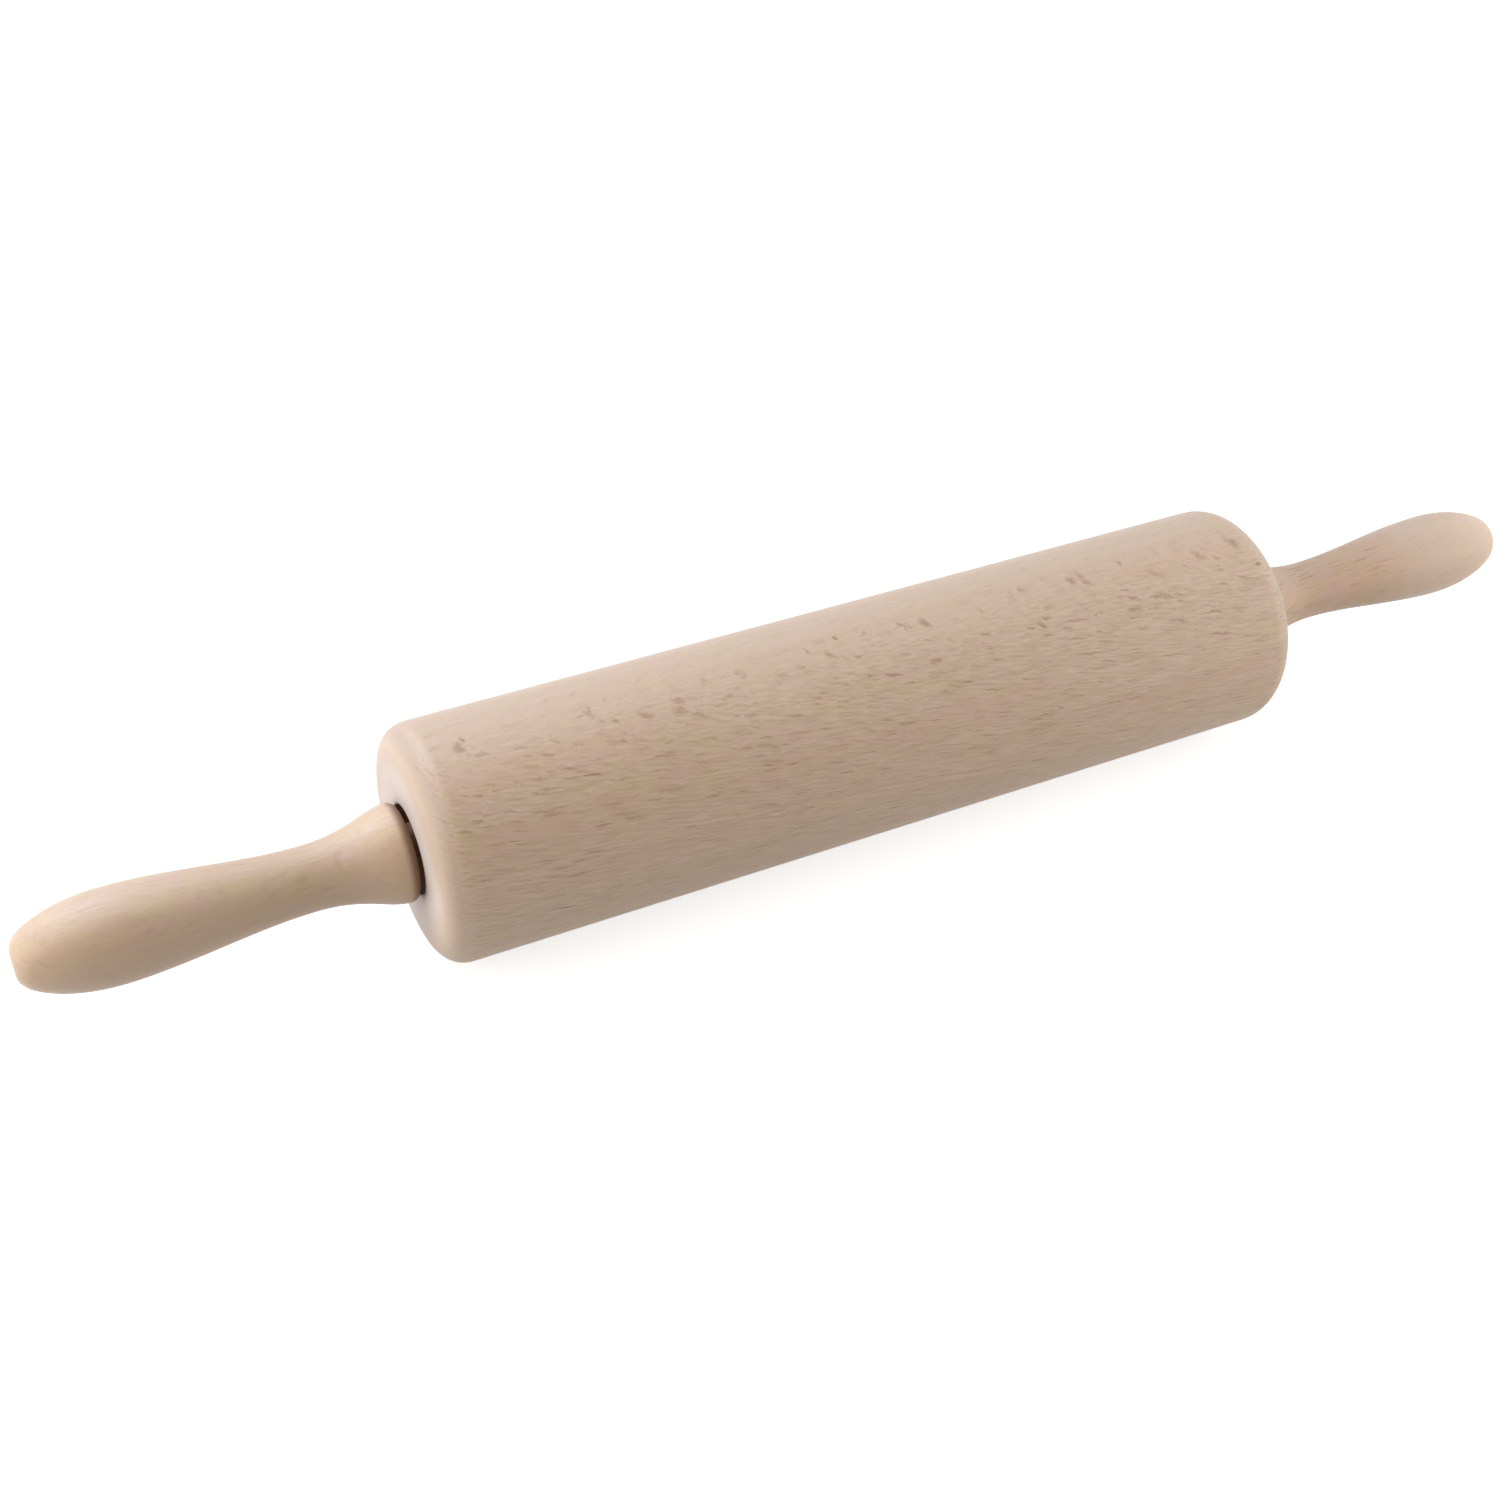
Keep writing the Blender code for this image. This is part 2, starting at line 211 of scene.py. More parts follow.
class PINSHOP_PG_finish(bpy.types.PropertyGroup):
    """Colours of the wood and of the fittings, and the painted light and shade on the wood."""

    early_wood: colour_property("Barrel, early wood", "Pale wood that grows in spring", "#D2B79D")
    late_wood: colour_property("Barrel, late wood", "Deeper wood that grows in summer", "#BC9F84")
    left_early: colour_property("Left handle, early wood", "Pale wood of the left handle", "#D5BA9F")
    left_late: colour_property("Left handle, late wood", "Deeper wood of the left handle", "#C3A588")
    # Painted shade: the left handle is darker towards its front
    left_front_shade: colour_property("Left handle, front", "Painted shade on the left handle's front", "#BB9D83")
    right_early: colour_property("Right handle, early wood", "Pale wood of the right handle", "#C8AB91")
    right_late: colour_property("Right handle, late wood", "Deeper wood of the right handle", "#B29377")
    end_grain: colour_property("End grain", "Wood cut square across its fibres", "#CBBBAF")
    # Partly the aslant wood's own deeper colour, partly painted shade on the rounded end
    rounding: colour_property("Rounded end", "Wood cut aslant where the barrel's end is rounded, partly painted shade", "#B29A86")
    face_wood: colour_property("End face", "Wood of the barrel's end next to the rounding", "#C7AD95")
    # Painted light: the right handle is paler towards its nose
    right_nose_light: colour_property("Right nose", "Painted light towards the right handle's nose", "#D2BCA8")
    # Painted shade: warm brown inside the bearing seat and on the sleeves, seen only in the shaded gap by the
    # handle
    warm_gap_shade: colour_property("Warm gap shade", "Painted warm shade inside the bearing seat and on the sleeves", "#B06C3A")
    # Painted shade: deep brown on the collar's edge next to the barrel, and on the sleeves
    deep_gap_shade: colour_property("Deep gap shade", "Painted deep shade on the collar's edge and the sleeves", "#6E4C33")
    pink_wood: colour_property("Pink streaks", "Rosy streaks that steaming leaves in beech", "#C8A38A")
    ray: colour_property("Rays", "Brown of the ray cells seen end on", "#8A6240")
    steel: colour_property("Steel", "Bright drawn steel", "#C6C6C8")
    ground_steel: colour_property("Bearing steel", "Ground and polished bearing steel", "#D2D2D4")
    nylon: colour_property("Nylon", "Natural ivory nylon of the ball cages", "#DED6BF")
    rubber: colour_property("Rubber", "Black nitrile rubber of the seals", "#282829")


class PINSHOP_PG_stage(bpy.types.PropertyGroup):
    """Studio round the pin."""

    floor_colour: colour_property("Floor", "Plain pale floor", "#CCCCCA")
    floor_size: length_property("Floor size", "Side of the square floor", 8.0, least=1.0)
    lamp_level: FloatProperty(
        name="Lamp level", description="Brightness of all the lamps together",
        default=1.0, min=0.0, soft_max=3.0, subtype="FACTOR")


# Turning

def turned(profile, steps, ring=True):
    """Turn a profile of (x, r) corners about the pin's axis. A ring's profile closes on itself."""
    bm = bmesh.new()
    corners = [bm.verts.new((x, 0.0, r)) for x, r in profile]
    edges = [bm.edges.new(pair) for pair in zip(corners, corners[1:])]
    if ring:
        edges.append(bm.edges.new((corners[-1], corners[0])))
    bmesh.ops.spin(bm, geom=corners + edges, cent=(0, 0, 0), axis=(1, 0, 0), dvec=(0, 0, 0),
                   angle=2 * math.pi, space=Matrix(), steps=steps, use_merge=True,
                   use_normal_flip=False, use_duplicate=False)
    if not ring:
        bmesh.ops.holes_fill(bm, edges=[e for e in bm.edges if e.is_boundary], sides=0)
    bmesh.ops.remove_doubles(bm, verts=bm.verts, dist=1e-7)
    bmesh.ops.recalc_face_normals(bm, faces=bm.faces)
    return bm


def ring_edges(bm, x, r):
    """Edges of the ring that runs round the axis at one place and radius."""
    def on_ring(vert):
        return abs(vert.co.x - x) < 2e-6 and abs(math.hypot(vert.co.y, vert.co.z) - r) < 2e-6
    return [e for e in bm.edges if all(on_ring(v) for v in e.verts)]


def soften(bm, rings, width, segments):
    """Round the edges of some rings, each given by its place and radius."""
    edges = [e for x, r in rings for e in ring_edges(bm, x, r)]
    bmesh.ops.bevel(bm, geom=edges, offset=width, offset_type="OFFSET", segments=segments, profile=0.5,
                    affect="EDGES", clamp_overlap=True, loop_slide=True, material=-1)


def divide_length(bm, x, cuts):
    """Cut a long wall into even rings, out to a distance x on each side."""
    for i in range(1, cuts):
        at = -x + 2 * x * i / cuts
        bmesh.ops.bisect_plane(bm, geom=bm.verts[:] + bm.edges[:] + bm.faces[:], dist=1e-7,
                               plane_co=(at, 0, 0), plane_no=(1, 0, 0))


def both_ends(half):
    """Complete a profile that is the same on both sides of the middle."""
    return [(-x, r) for x, r in reversed(half)] + half


def set_on_side(bm, sign, place, facing=1.0):
    """Move a piece made facing +X to its place on one side of the pin, where it faces out, or in at -1."""
    if sign * facing < 0:
        bmesh.ops.rotate(bm, verts=bm.verts, cent=(0, 0, 0), matrix=Matrix.Rotation(math.pi, 3, "Z"))
    bmesh.ops.translate(bm, verts=bm.verts, vec=(sign * place, 0, 0))


def put_in_place(node, made, bm, finish):
    """Close a mesh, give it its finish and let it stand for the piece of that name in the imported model."""
    name = f"{node}_{made}"
    old = bpy.data.objects.get(name)
    if old:
        bpy.data.objects.remove(old, do_unlink=True)
    mesh = bpy.data.meshes.new(name)
    bm.to_mesh(mesh)
    bm.free()
    mesh.shade_smooth()
    mesh.set_sharp_from_angle(angle=SHARP_ANGLE)
    mesh.materials.append(finish)
    piece = bpy.data.objects.new(name, mesh)
    bpy.context.scene.collection.objects.link(piece)
    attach(piece, BODY_OF[node])
    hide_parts(node)


# Materials

def add_node(tree, kind, links=None, **settings):
    """Add one node with its settings, and link or set its inputs. A node is linked by its first output."""
    node = tree.nodes.new(kind)
    for key, value in settings.items():
        setattr(node, key, value)
    for key, value in (links or {}).items():
        if isinstance(value, bpy.types.Node):
            value = value.outputs[0]
        if isinstance(value, bpy.types.NodeSocket):
            tree.links.new(value, node.inputs[key])
        else:
            node.inputs[key].default_value = value
    return node


def new_material(name):
    """Start an empty material, and return it with its node tree and each point's place in metres."""
    material = bpy.data.materials.new(name)
    material.use_nodes = True
    tree = material.node_tree
    tree.nodes.clear()
    return material, tree, add_node(tree, "ShaderNodeTexCoord").outputs["Object"]


def axis_measures(tree, place):
    """Return how far each point is along the pin's axis, behind it and out from it."""
    parts = add_node(tree, "ShaderNodeSeparateXYZ", {0: place})
    across = add_node(tree, "ShaderNodeVectorMath", {0: place, 1: (0.0, 1.0, 1.0)}, operation="MULTIPLY")
    radius = add_node(tree, "ShaderNodeVectorMath", {0: across}, operation="LENGTH")
    return parts.outputs[0], parts.outputs[1], radius.outputs["Value"]


def wood_turn(ray_angle, slope):
    """Rotation from the pin's axes to the wood's: along the grain, along the rays, across the rays.

    The ray angle is where round the turned surface the rays lie flat, in degrees from the top towards
    the front. The slope is how far the grain drifts round the pin for each length along it.
    """
    angle = math.radians(ray_angle)
    across = Vector((slope, -math.sin(angle), math.cos(angle))).normalized()
    along = Vector((1.0, 0.0, 0.0))
    along = (along - across * along.dot(across)).normalized()
    return Matrix((along, across.cross(along), across)).to_euler("XYZ")


def bands(tree, trunk, per_mm, start, waves, least):
    """Broad bands across the trunk in which a pattern shows in full. Between them the least is left."""
    turn = add_node(tree, "ShaderNodeVectorMath", {0: trunk, 1: per_mm}, operation="DOT_PRODUCT")
    turn = add_node(tree, "ShaderNodeMath", {0: turn.outputs["Value"], 1: start})
    wave = add_node(tree, "ShaderNodeMath", {0: turn}, operation="COSINE")
    return add_node(tree, "ShaderNodeMapRange", {
        "Value": wave, "From Min": waves[0], "From Max": waves[1], "To Min": least})


def speckle(tree, place, layers, softness, bold=False):
    """Scatter slim dark lens shapes through the wood, and return how much of one each point is in.

    Each layer has the space that one shape gets along, up and across the grain in millimetres, the
    least and most of that space that it fills, its strength, and a seed. Bold shapes have pointed
    ends, and the others are mostly faint.
    """
    faintest = 0.25
    metric, power = ("MINKOWSKI", {"Exponent": 1.5}) if bold else ("EUCLIDEAN", {})
    marks = 0.0
    for cell, (least, most), strength, seed in layers:
        shift = (seed, seed * 0.7, seed * 0.3)
        spread = add_node(tree, "ShaderNodeVectorMath", {0: place, 1: [1 / c for c in cell], 2: shift},
                          operation="MULTIPLY_ADD")
        cells = add_node(tree, "ShaderNodeTexVoronoi", {"Vector": spread, "Scale": 1.0, **power},
                         distance=metric)
        dice = add_node(tree, "ShaderNodeSeparateColor", {0: cells.outputs["Color"]}).outputs
        size = add_node(tree, "ShaderNodeMapRange", {"Value": dice[0], "To Min": least, "To Max": most})
        core = add_node(tree, "ShaderNodeMath", {0: size, 1: softness}, operation="MULTIPLY")
        shape = add_node(tree, "ShaderNodeMapRange", {
            "Value": cells.outputs["Distance"], "From Min": size, "From Max": core},
            interpolation_type="SMOOTHSTEP")
        chance = add_node(tree, "ShaderNodeMath", {0: dice[1], 1: 1.0 if bold else dice[2]},
                          operation="MULTIPLY")
        weight = add_node(tree, "ShaderNodeMapRange", {
            "Value": chance, "To Min": faintest * strength, "To Max": strength})
        layer = add_node(tree, "ShaderNodeMath", {0: shape, 1: weight}, operation="MULTIPLY")
        marks = add_node(tree, "ShaderNodeMath", {0: marks, 1: layer}, operation="MAXIMUM")
    return marks


def cover(tree, colour, roughness, height, strength, depth, more):
    """Give a material its colour, its roughness, a relief whose depth is in metres, and what more it has."""
    relief = add_node(tree, "ShaderNodeBump", {"Height": height, "Strength": strength, "Distance": depth})
    shader = add_node(tree, "ShaderNodeBsdfPrincipled", {
        "Base Color": colour, "Roughness": roughness, "Normal": relief, **more})
    add_node(tree, "ShaderNodeOutputMaterial", {"Surface": shader})


def beech(name, finish, early, late, ray_angle, slope, shift, band=0.0, ray_strength=0.8, fibre_contrast=2.2,
          patchy=1.0, sheen=0.06, tints=()):
    """Steamed beech, turned and fine sanded, with no varnish on it.

    The eye sees a pale, even, slightly rosy wood without pores. Its rays show as short brown dashes
    where the surface is cut across them and as wider, softer flecks where it runs along them.

    Each tint has the measure that it follows, the two places in millimetres between which it sets in,
    how much of it there is past the second, and its colour. The measures are "far", the distance from
    the pin's middle, "front", the distance in front of the axis, and "radius".
    """
    material, tree, place = new_material(name)

    # Wood coordinates in millimetres: x along the grain, y along the rays, z across the rays. The growth
    # rings follow the trunk's own axis, and the fibres wind round it by the slope
    trunk_slope = -0.02
    to_mm = (1000, 1000, 1000)
    wood, trunk = [add_node(tree, "ShaderNodeMapping", {
        "Vector": place, "Location": shift, "Rotation": wood_turn(ray_angle, winding), "Scale": to_mm})
        for winding in (slope, trunk_slope)]

    # The grain wanders by about half a millimetre every 15 mm, and a finer noise makes its marks ragged
    noises = []
    for scale, detail in ((1 / 15, 2.0), (0.55, 1.0)):
        swing = add_node(tree, "ShaderNodeTexNoise", {"Vector": wood, "Scale": scale, "Detail": detail})
        noises.append(add_node(tree, "ShaderNodeVectorMath", {0: swing.outputs["Color"], 1: (0.5, 0.5, 0.5)},
                               operation="SUBTRACT"))
    wander, rough = noises
    grain = add_node(tree, "ShaderNodeVectorMath", {0: wander, 1: (0.0, 2.2, 1.4), 2: wood},
                     operation="MULTIPLY_ADD")
    ragged = add_node(tree, "ShaderNodeVectorMath", {0: rough, 1: (2.4, 1.4, 0.7), 2: grain},
                      operation="MULTIPLY_ADD")

    # Rays run bold or faint in bands about 45 mm broad, and thin lines and fibres show more or less in
    # broader bands, about 70 mm. On the barrel the bands fade the texture on the top and towards the back,
    # where a highlight washes it out: painted light
    bold = bands(tree, trunk, (0.004, math.tau / 45.0, 0.01), band, (-0.2, 0.8), 0.2)
    fine = bands(tree, trunk, (0.0, math.tau / 70.0, 0.0), 25.0 * math.tau / 70.0, (-1.0, 0.6), 0.22)

    # Bold rays, up to about 7 mm long, 11 mm deep and 1 mm wide
    bold_rays = speckle(tree, ragged, (
        ((9.0, 14.0, 1.20), (0.16, 0.42), 0.95, 11.3),
        ((7.0, 11.0, 0.95), (0.16, 0.42), 0.85, 57.1),
    ), 0.15, bold=True)
    rays = add_node(tree, "ShaderNodeMath", {0: bold_rays, 1: bold}, operation="MULTIPLY")

    # Thin dark lines between them, about 2 to 10 mm long and 0.2 to 0.8 mm wide, where small rays and
    # pores run together
    lines = speckle(tree, ragged, (
        ((13.0, 3.6, 1.05), (0.14, 0.40), 1.00, 21.9),
        ((11.0, 3.0, 0.85), (0.14, 0.40), 0.90, 71.7),
        ((8.0, 2.4, 0.70), (0.14, 0.40), 0.80, 93.7),
    ), 0.45)
    line_strength = 0.80
    lines = add_node(tree, "ShaderNodeMath", {0: lines, 1: fine}, operation="MULTIPLY")
    lines = add_node(tree, "ShaderNodeMath", {0: lines, 1: line_strength}, operation="MULTIPLY")
    marks = add_node(tree, "ShaderNodeMath", {0: rays, 1: lines}, operation="MAXIMUM")
    brown = add_node(tree, "ShaderNodeMath", {0: marks, 1: ray_strength}, operation="MULTIPLY")

    # Growth rings, 2 to 4 mm apart, round a pith about 90 mm away
    pith = add_node(tree, "ShaderNodeVectorMath", {0: trunk, 1: (0.0, 90.0, 12.0)})
    bend = add_node(tree, "ShaderNodeVectorMath", {0: wander, 1: (0.0, 1.6, 1.6), 2: pith},
                    operation="MULTIPLY_ADD")
    flat = add_node(tree, "ShaderNodeVectorMath", {0: bend, 1: (0.006, 1.0, 1.0)}, operation="MULTIPLY")
    reach = add_node(tree, "ShaderNodeVectorMath", {0: flat}, operation="LENGTH")
    years = add_node(tree, "ShaderNodeTexNoise", {
        "W": reach.outputs["Value"], "Scale": 0.42, "Detail": 3.0, "Roughness": 0.6}, noise_dimensions="1D")

    # Three patterns drawn out along the grain: fibres, which are fine streaks about 0.4 mm wide and 8 mm
    # long; patches a little rosier or yellower than the rest, about 4 mm broad and 10 mm long; and broad
    # rosy streaks, about 8 mm wide and 100 mm long
    patterns = []
    for source, per_mm, roughness in ((grain, (0.12, 1.1, 2.2), 0.55), (grain, (0.10, 0.26, 0.30), 0.6),
                                      (bend, (0.010, 0.10, 0.13), 0.5)):
        drawn = add_node(tree, "ShaderNodeVectorMath", {0: source, 1: per_mm}, operation="MULTIPLY")
        patterns.append(add_node(tree, "ShaderNodeTexNoise", {
            "Vector": drawn, "Scale": 1.0, "Roughness": roughness}))
    fibres, patches, streaks = patterns

    # How much of each colour lies over the early wood: late wood, rosy streaks, patches, rays and tints
    contrast = add_node(tree, "ShaderNodeMath", {0: fine, 1: fibre_contrast}, operation="MULTIPLY")
    deep = add_node(tree, "ShaderNodeMath", {0: fibres, 1: -0.5})
    deep = add_node(tree, "ShaderNodeMath", {0: deep, 1: contrast, 2: 0.3}, operation="MULTIPLY_ADD")
    deep = add_node(tree, "ShaderNodeMath", {0: years, 1: 0.40, 2: deep}, operation="MULTIPLY_ADD",
                    use_clamp=True)
    rosy = add_node(tree, "ShaderNodeMapRange", {
        "Value": streaks, "From Min": 0.45, "From Max": 0.72, "To Max": 0.32},
        interpolation_type="SMOOTHSTEP")
    patch = add_node(tree, "ShaderNodeMapRange", {"Value": patches, "From Min": 0.30, "From Max": 0.70})
    patch_tint = add_node(tree, "ShaderNodeMix", {
        0: patch, 6: (0.98, 1.01, 0.91, 1.0), 7: (1.02, 0.985, 1.07, 1.0)}, data_type="RGBA")
    layers = [(deep, (*late, 1.0), "MIX"), (rosy, (*finish.pink_wood, 1.0), "MIX"),
              (patchy, patch_tint.outputs[2], "MULTIPLY"), (brown, (*finish.ray, 1.0), "MIX")]
    along, behind, radius = axis_measures(tree, place)
    far = add_node(tree, "ShaderNodeMath", {0: along}, operation="ABSOLUTE")
    front = add_node(tree, "ShaderNodeMath", {0: behind, 1: -1.0}, operation="MULTIPLY")
    measures = {"far": far, "front": front, "radius": radius}
    for measure, start, stop, amount, tint in tints:
        share = add_node(tree, "ShaderNodeMapRange", {
            "Value": measures[measure], "From Min": start * MM, "From Max": stop * MM, "To Max": amount},
            interpolation_type="SMOOTHSTEP")
        layers.append((share, (*tint, 1.0), "MIX"))
    colour = (*early, 1.0)
    for share, over, blend in layers:
        colour = add_node(tree, "ShaderNodeMix", {0: share, 6: colour, 7: over}, data_type="RGBA",
                          blend_type=blend).outputs[2]

    # Rays are a little denser and smoother than the fibres, and sanding leaves them slightly low
    polish = add_node(tree, "ShaderNodeMapRange", {"Value": marks, "To Min": 0.54, "To Max": 0.44})
    height = add_node(tree, "ShaderNodeMath", {0: marks, 1: -0.8, 2: fibres}, operation="MULTIPLY_ADD")
    cover(tree, colour, polish, height, 0.6, 0.09 * MM, {
        "IOR": 1.5, "Sheen Weight": sheen, "Sheen Roughness": 0.5})
    return material


def vary(tree, pattern, colour, deep, smooth, dull):
    """Return a colour that deepens and a roughness that rises where a pattern is strong."""
    shade = add_node(tree, "ShaderNodeMix", {
        0: pattern, 6: (*colour, 1.0), 7: (*[c * deep for c in colour], 1.0)}, data_type="RGBA")
    rough = add_node(tree, "ShaderNodeMapRange", {"Value": pattern, "To Min": smooth, "To Max": dull})
    return shade.outputs[2], rough


def drawn_steel(name, finish):
    """Bright drawn steel: a grey satin metal with fine lines along the rod, from the drawing die."""
    material, tree, place = new_material(name)
    # Drawing lines about 0.15 mm wide and 20 mm long
    spread = add_node(tree, "ShaderNodeMapping", {"Vector": place, "Scale": (50, 6600, 6600)})
    lines = add_node(tree, "ShaderNodeTexNoise", {"Vector": spread, "Scale": 1.0, "Roughness": 0.6})
    shade, satin = vary(tree, lines, finish.steel, 0.72, 0.26, 0.40)
    cover(tree, shade, satin, lines, 0.3, 0.01 * MM, {"Metallic": 1.0})
    return material


def ground_steel(name, finish):
    """Ground and polished bearing steel: a bright metal with very fine rings round the axis."""
    material, tree, place = new_material(name)
    # Grinding rings about 0.12 mm apart, along the axis and out from it
    along, _, radius = axis_measures(tree, place)
    spread = add_node(tree, "ShaderNodeCombineXYZ", {0: along, 1: radius})
    rings = add_node(tree, "ShaderNodeTexNoise", {"Vector": spread, "Scale": 8000.0, "Roughness": 0.55})
    shade, gloss = vary(tree, rings, finish.ground_steel, 0.8, 0.12, 0.24)
    cover(tree, shade, gloss, rings, 0.2, 0.005 * MM, {"Metallic": 1.0})
    return material


def moulded(name, colour, deep, roughness, grit, depth):
    """Moulded surface: one even colour, a slight mottle and the fine grit of the mould."""
    material, tree, place = new_material(name)
    mottle = add_node(tree, "ShaderNodeTexNoise", {
        "Vector": place, "Scale": 1 / (1.5 * MM), "Detail": 3.0, "Roughness": 0.6})
    texture = add_node(tree, "ShaderNodeTexNoise", {"Vector": place, "Scale": 1 / grit})
    shade, dull = vary(tree, mottle, colour, deep, roughness - 0.06, roughness + 0.08)
    cover(tree, shade, dull, texture, 0.4, depth, {"IOR": 1.52})
    return material


def shared(make, name, *values):
    """Return a material that several pieces share, and make it the first time."""
    return bpy.data.materials.get(name) or make(name, *values)


# Pieces

class PINSHOP_OT_barrel(bpy.types.Operator):
    """Turn the beech barrel, with rounded ends and an open bearing seat at each end, bored through"""

    bl_idname = "pinshop.turn_barrel"
    bl_label = "Turn the barrel"

    def execute(self, context):
        sizes = context.scene.pin_barrel
        end = sizes.end_place
        seat_bottom = end - sizes.seat_depth
        half = [(end, sizes.radius), (end, sizes.seat_radius), (seat_bottom, sizes.seat_radius),
                (seat_bottom, sizes.bore_radius)]
        bm = turned(both_ends(half), BARREL_STEPS)
        soften(bm, [(end, sizes.radius), (-end, sizes.radius)], sizes.edge_radius, 14)
        soften(bm, [(end, sizes.seat_radius), (-end, sizes.seat_radius)], sizes.seat_softening, 3)
        divide_length(bm, end - sizes.edge_radius, 24)
        finish = context.scene.pin_finish
        # The end shows wood that is cut aslant and then square across its fibres, and painted warm shade
        # round the seat
        wood = beech(
            "steamed beech, barrel", finish, finish.early_wood, finish.late_wood, ray_angle=9, slope=0.15,
            shift=(0.0, 0.0, 0.0), band=0.45, sheen=0.15, patchy=0.6, tints=(
                # The rounding's tint is partly the aslant wood's own colour and partly painted shade
                ("radius", 29.9, 28.7, 0.7, finish.rounding), ("radius", 28.6, 25.5, 0.85, finish.face_wood),
                ("radius", 24.5, 18.0, 0.75, finish.end_grain), ("radius", 11.9, 11.3, 0.9, finish.warm_gap_shade)))
        put_in_place("barrel", "turned", bm, wood)
        return {"FINISHED"}


def handle_profile(sizes):
    """Outline of a handle along +X from its base, as (x, r) points from the collar to the flat tip."""
    collar, waist, grip = sizes.collar_radius, sizes.waist_radius, sizes.grip_radius
    low = sizes.waist_place
    # The collar's straight land, and how far the curve from it to the waist leans out at each end
    land = 2.4 * MM
    collar_lean = 5.0 * MM
    waist_lean = 12.0 * MM
    swell_end = sizes.length - sizes.nose_length
    third = (swell_end - low) / 3
    # The nose is a quarter of an ellipse that the flat tip cuts short, with a rounded rim
    reach = sizes.nose_length / math.cos(math.asin(sizes.tip_radius / grip))
    round_off = 0.5523
    rim_lean = 0.55
    curve_points = 26
    rim_points = 9
    curves = (
        ((land, collar), (land + collar_lean, collar), (low - waist_lean, waist), (low, waist)),
        ((low, waist), (low + third, waist), (swell_end - third, grip), (swell_end, grip)),
        ((swell_end, grip), (swell_end + round_off * reach, grip), (swell_end + reach, round_off * grip),
         (swell_end + reach, 0.0)),
    )
    points = []
    for knots in curves:
        steps = interpolate_bezier(*[Vector((x, r, 0.0)) for x, r in knots], curve_points)
        points += steps[bool(points):]
    points = [p for p in points if p.x < sizes.length - sizes.tip_edge]
    start = points[-1]
    run = start - points[-2]
    corner = start + run * (sizes.length - start.x) / run.x
    flat = corner - Vector((0.0, sizes.tip_edge, 0.0))
    rim = (start, start.lerp(corner, rim_lean), flat.lerp(corner, rim_lean), flat)
    points += interpolate_bezier(*rim, rim_points)[1:]
    return [(p.x, p.y) for p in points]


def sand_by_hand(bm, sizes, seed):
    """Leave the soft, shallow facets of hand sanding on the grip and nose, never above the turned size."""
    start = sizes.waist_place
    # The facets' length and width, the height that their lumps stay under, and the gap that keeps the
    # bore as it is
    long, wide = 0.012, 0.007
    peak = 0.8
    bore_gap = 0.5 * MM
    for vert in bm.verts:
        radius = math.hypot(vert.co.y, vert.co.z)
        if vert.co.x < start or radius < sizes.bore_radius + bore_gap:
            continue
        fade = min(1.0, (vert.co.x - start) / (sizes.length - start))
        lump = noise.noise(Vector((vert.co.x / long, vert.co.y / wide + seed, vert.co.z / wide)))
        depth = sizes.hand_sanding * fade * (lump - peak)
        vert.co.y += depth * vert.co.y / radius
        vert.co.z += depth * vert.co.z / radius


class PINSHOP_OT_handles(bpy.types.Operator):
    """Turn the two beech handles: flared collar, waist, swelling grip, rounded nose and a blind bore"""

    bl_idname = "pinshop.turn_handles"
    bl_label = "Turn the handles"

    def execute(self, context):
        sizes = context.scene.pin_handle
        finish = context.scene.pin_finish
        # Painted shade: the collar's edge is painted dark brown where it turns towards the barrel and lies in
        # shade
        edge = ("far", 124.2, 121.8, 0.85, finish.deep_gap_shade)
        woods = {
            "right": beech(
                "steamed beech, right handle", finish, finish.right_early, finish.right_late, ray_angle=150,
                slope=0.05, shift=(300.0, 40.0, 20.0), ray_strength=0.75, fibre_contrast=0.8, sheen=0.10,
                # The right handle is painted paler towards its nose: painted light
                tints=(edge, ("far", 162.0, 182.0, 0.4, finish.right_nose_light))),
            "left": beech(
                "steamed beech, left handle", finish, finish.left_early, finish.left_late, ray_angle=40,
                slope=-0.04, shift=(-300.0, -30.0, 55.0), ray_strength=0.30, fibre_contrast=0.9,
                # The left handle is painted darker towards its front: painted shade
                tints=(("front", 5.0, 8.0, 0.35, finish.left_front_shade),
                       ("front", 8.5, 11.0, 0.25, finish.left_front_shade), edge)),
        }
        chamfer = 0.8 * MM
        for side, sign in SIDES:
            bore = [(sizes.bore_depth, sizes.bore_radius), (chamfer, sizes.bore_radius),
                    (0.0, sizes.bore_radius + chamfer), (0.0, sizes.collar_radius)]
            bm = turned(bore + handle_profile(sizes), HANDLE_STEPS, ring=False)
            soften(bm, [(0.0, sizes.collar_radius)], sizes.collar_edge, 8)
            sand_by_hand(bm, sizes, 3.0 + sign)
            set_on_side(bm, sign, sizes.base_place)
            put_in_place(f"{side}_handle", "turned", bm, woods[side])
        return {"FINISHED"}


class PINSHOP_OT_axle(bpy.types.Operator):
    """Cut the steel axle to length, with glue grooves and a chamfer at each end"""

    bl_idname = "pinshop.cut_axle"
    bl_label = "Cut the axle"

    def execute(self, context):
        sizes = context.scene.pin_axle
        base = context.scene.pin_handle.base_place
        rod = sizes.radius
        groove = rod - sizes.groove_depth
        slope = sizes.groove_depth
        half = []
        for i in range(sizes.groove_count):
            start = base + sizes.groove_start + i * sizes.groove_pitch
            stop = start + sizes.groove_width
            half += [(start, rod), (start + slope, groove), (stop - slope, groove), (stop, rod)]
        half += [(sizes.end_place - sizes.end_chamfer, rod), (sizes.end_place, rod - sizes.end_chamfer)]
        bm = turned(both_ends(half), SMALL_STEPS, ring=False)
        divide_length(bm, base, 24)
        steel = shared(drawn_steel, "bright drawn steel", context.scene.pin_finish)
        put_in_place("axle", "turned", bm, steel)
        return {"FINISHED"}


